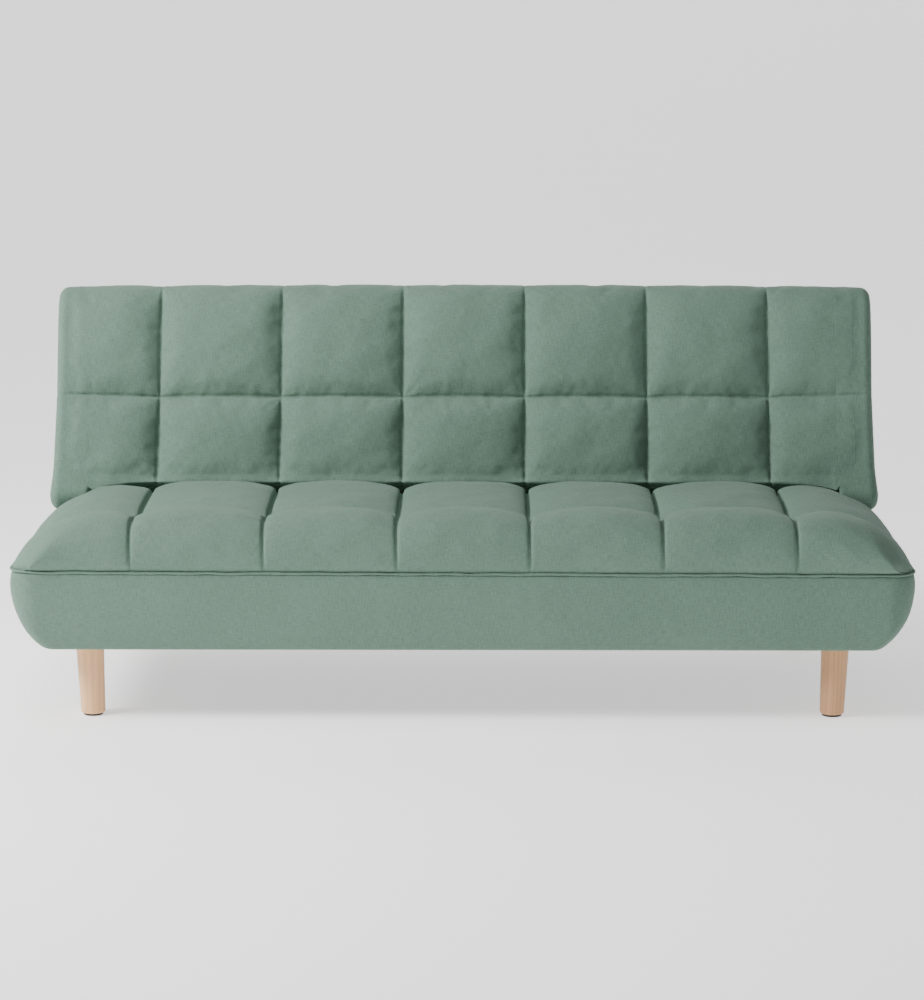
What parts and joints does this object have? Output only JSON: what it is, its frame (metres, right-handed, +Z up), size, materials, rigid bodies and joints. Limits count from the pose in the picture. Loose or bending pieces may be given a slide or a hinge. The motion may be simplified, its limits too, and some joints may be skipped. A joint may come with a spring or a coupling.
{
  "type": "futon sofa bed",
  "caption": "Armless sofa bed: tufted seat and a tufted back that folds flat on click-clack hinges, padded base, tapered wooden legs and a swinging rear support.",
  "frame": {"origin": "on the floor under the middle of the bounding box", "axes": "+X along the width, front faces -Y, +Z up"},
  "size_m": [1.819, 0.7863, 0.8197],
  "materials": {
    "tufted_cover": "fine rib weave, quilted",
    "border_cover": "fine rib weave, padded",
    "welt": "narrow flat band between two stitch lines",
    "outside_back_cloth": "fine rib weave over board",
    "gusset_cloth": "plain cloth",
    "foam": "open-cell polyurethane foam",
    "felt": "needled felt",
    "dust_cloth": "non-woven black cloth",
    "deck_board": "thin board covered in black cloth",
    "leg_wood": "clear satin lacquer",
    "support_steel": "satin black powder coat",
    "black_plastic": "moulded",
    "spring_steel": "drawn wire",
    "frame_wood": "sawn softwood",
    "zinc_steel": "zinc plated"
  },
  "bodies": {
    "seat_base": {"base_braces": "frame_wood", "base_front_border": "border_cover", "base_front_rail": "frame_wood", "base_left_border": "border_cover", "base_left_rail": "frame_wood", "base_rear_border": "border_cover", "base_rear_deck": "deck_board", "base_rear_rail": "frame_wood", "base_right_border": "border_cover", "base_right_rail": "frame_wood", "corner_blocks": "frame_wood", "crease_gusset": "gusset_cloth", "dust_cover": "dust_cloth", "front_left_leg": "leg_wood", "front_right_leg": "leg_wood", "left_seat_plate": "zinc_steel", "leg_glides": "black_plastic", "leg_hanger_bolts": "zinc_steel", "leg_plate_screws": "zinc_steel", "leg_plates": "zinc_steel", "pawl_pins": "zinc_steel", "pawl_springs": "spring_steel", "pivot_bolts": "zinc_steel", "pivot_nuts": "zinc_steel", "pivot_washers": "zinc_steel", "rear_left_leg": "leg_wood", "rear_right_leg": "leg_wood", "right_seat_plate": "zinc_steel", "seat_cover": "tufted_cover", "seat_felt_pad": "felt", "seat_foam": "foam", "seat_plate_bolts": "zinc_steel", "seat_rear_crossrail": "frame_wood", "seat_springs": "spring_steel", "seat_welt": "welt", "spring_clips": "zinc_steel"},
    "backrest": {"back_arm_bolts": "zinc_steel", "back_bottom_rail": "frame_wood", "back_cover": "tufted_cover", "back_foam": "foam", "back_left_rail": "frame_wood", "back_middle_rail": "frame_wood", "back_right_rail": "frame_wood", "back_slats": "frame_wood", "back_top_rail": "frame_wood", "left_back_arm": "zinc_steel", "outside_back_panel": "outside_back_cloth", "right_back_arm": "zinc_steel", "support_bracket_screws": "zinc_steel", "support_brackets": "zinc_steel", "support_pins": "zinc_steel"},
    "rear_support": {"support_left_leg": "support_steel", "support_right_leg": "support_steel", "support_crossbar": "support_steel", "support_feet": "black_plastic"},
    "pawl_left": {"left_pawl": "zinc_steel"},
    "pawl_right": {"right_pawl": "zinc_steel"}
  },
  "joints": [
    {"name": "back_recline", "type": "hinge", "parent": "seat_base", "child": "backrest", "pos_m": [0, 0.1354, 0.38], "axis": [-1, 0, 0], "range_deg": [-8, 68], "deforming": ["crease_gusset"]},
    {"name": "rear_support_swing", "type": "hinge", "parent": "backrest", "child": "rear_support", "pos_m": [0, 0.36101, 0.64476], "axis": [1, 0, 0], "range_deg": [-8.5, 68.5]},
    {"name": "pawl_left_lift", "type": "hinge", "parent": "seat_base", "child": "pawl_left", "pos_m": [-0.8247, 0.0944, 0.318], "axis": [-1, 0, 0], "range_deg": [-10, 0], "stiffness_Nm_per_rad": 0.05},
    {"name": "pawl_right_lift", "type": "hinge", "parent": "seat_base", "child": "pawl_right", "pos_m": [0.8247, 0.0944, 0.318], "axis": [-1, 0, 0], "range_deg": [-10, 0], "stiffness_Nm_per_rad": 0.05}
  ],
  "couplings": [
    {"joint": "rear_support_swing", "follows": "back_recline", "ratio": 1}
  ]
}
